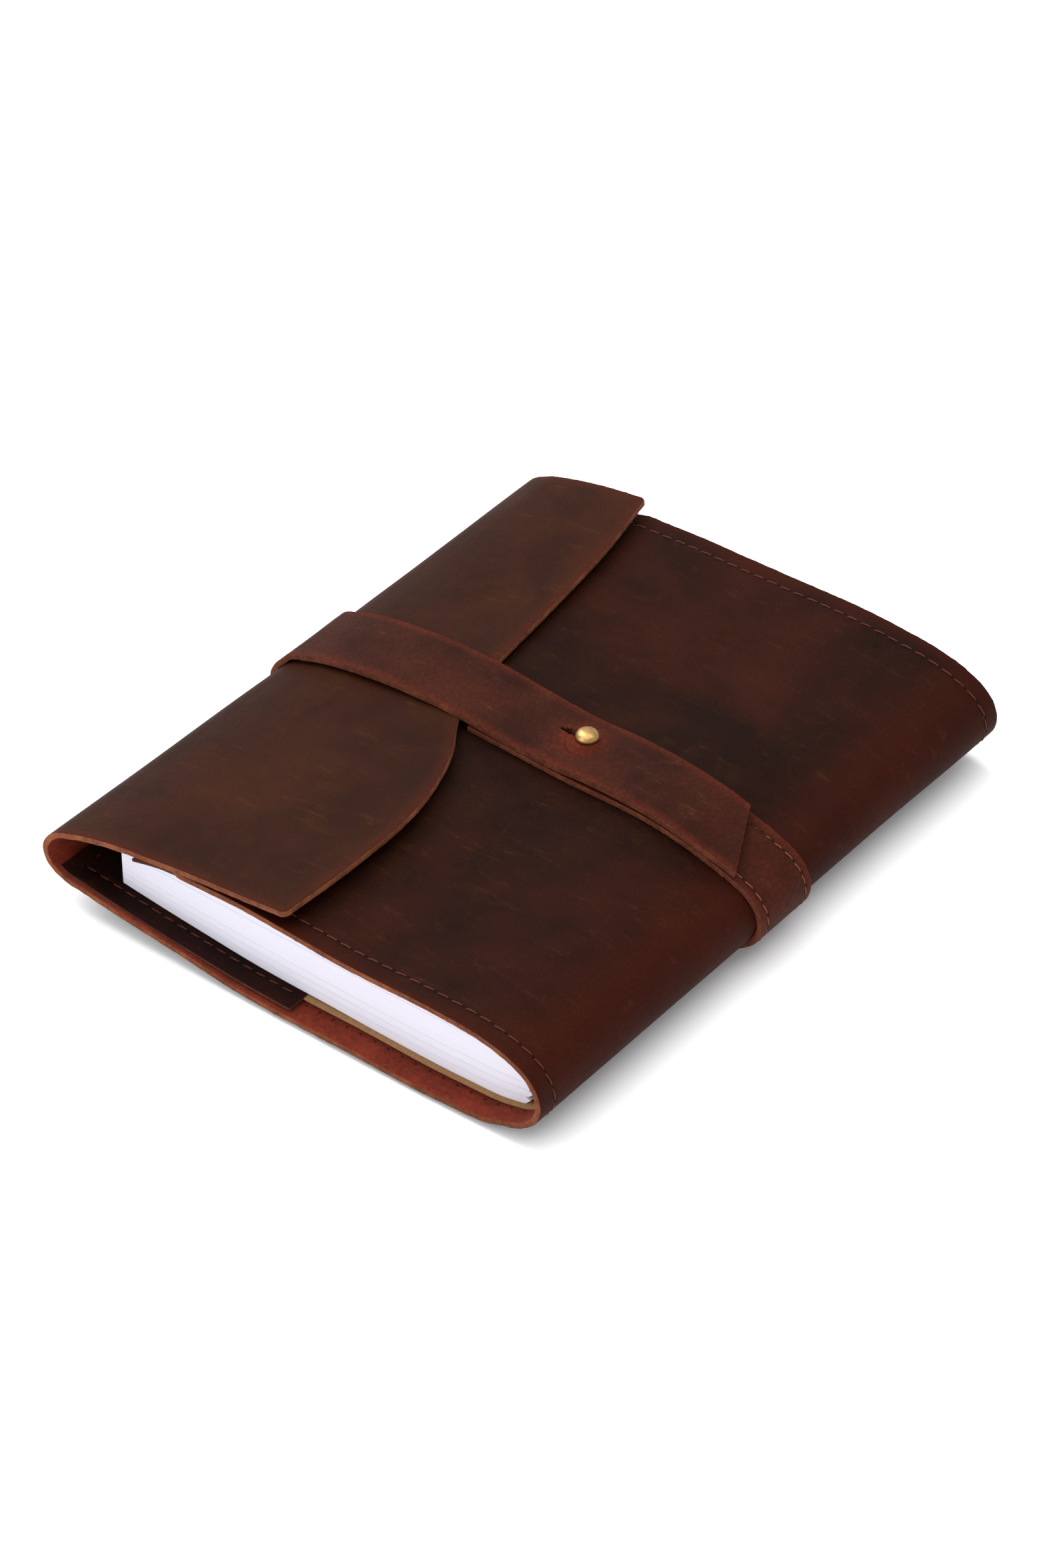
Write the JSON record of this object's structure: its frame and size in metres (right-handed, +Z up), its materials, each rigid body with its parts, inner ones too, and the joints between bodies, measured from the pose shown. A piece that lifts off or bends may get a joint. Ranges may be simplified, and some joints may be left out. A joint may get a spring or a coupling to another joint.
{
  "type": "leather notebook cover",
  "caption": "Wrap-round leather notebook cover with a curved fold-over flap, a strap closed by a brass stud, inner pockets and a sewn page block in kraft card.",
  "frame": {"origin": "middle of the footprint, on the surface the cover lies on", "axes": "+X from the fore-edge fold to the spine, +Y from foot to head, +Z up out of the front cover"},
  "size_m": [0.1889, 0.226, 0.0427],
  "materials": {
    "hide_leather": "dark brown pull-up leather, grain side out, raw cut edges, suede flesh side",
    "strap_leather": "reddish brown pull-up leather with a fine pebbled grain and raw cut edges",
    "pocket_leather": "thinner dark brown leather, grain side in",
    "stud_brass": "polished brass with a faint tarnish",
    "paper": "cool white cut page edges",
    "kraft_card": "plain brown kraft card",
    "thread": "waxed rust-red thread"
  },
  "bodies": {
    "back": {"back_cover": "hide_leather", "back_pocket": "pocket_leather", "kraft_card_back": "kraft_card", "signature_1": "paper", "signature_2": "paper", "signature_3": "paper", "signature_4": "paper", "signature_5": "paper", "signature_6": "paper", "signature_7": "paper", "binding_thread": "thread", "strap_back": "strap_leather", "back_edge_stitching": "thread", "back_pocket_stitching": "thread", "strap_stitching": "thread"},
    "flap": {"flap": "hide_leather", "strap_fold": "strap_leather"},
    "slot_strap": {"strap_slot_end": "strap_leather"},
    "front": {"front_cover": "hide_leather", "front_pocket": "pocket_leather", "kraft_card_front": "kraft_card", "front_edge_stitching": "thread", "front_pocket_stitching": "thread"},
    "stud_strap": {"strap_stud_end": "strap_leather", "stud": "stud_brass", "stud_screw": "stud_brass"},
    "top_pages": {"signature_8": "paper"}
  },
  "joints": [
    {"name": "flap_open", "type": "hinge", "parent": "back", "child": "flap", "pos_m": [-0.09485, 0, 0.01855], "axis": [0, -1, 0], "range_deg": [0, 170]},
    {"name": "slot_end_lift", "type": "hinge", "parent": "flap", "child": "slot_strap", "pos_m": [-0.07201, 0, 0.0347], "axis": [0, -1, 0], "range_deg": [0, 30]},
    {"name": "front_open", "type": "hinge", "parent": "back", "child": "front", "pos_m": [0.08133, 0, 0.03245], "axis": [0, 1, 0], "range_deg": [0, 170]},
    {"name": "stud_end_lift", "type": "hinge", "parent": "front", "child": "stud_strap", "pos_m": [0.07922, 0, 0.03313], "axis": [0, 1, 0], "range_deg": [0, 90]},
    {"name": "top_pages_turn", "type": "hinge", "parent": "back", "child": "top_pages", "pos_m": [0.0785, 0, 0.0253], "axis": [0, 1, 0], "range_deg": [0, 160]}
  ],
  "couplings": [
    {"joint": "front_open", "follows": "flap_open", "ratio": 0.2},
    {"joint": "top_pages_turn", "follows": "flap_open", "ratio": 0.1},
    {"joint": "stud_end_lift", "follows": "slot_end_lift", "ratio": 0.5}
  ]
}
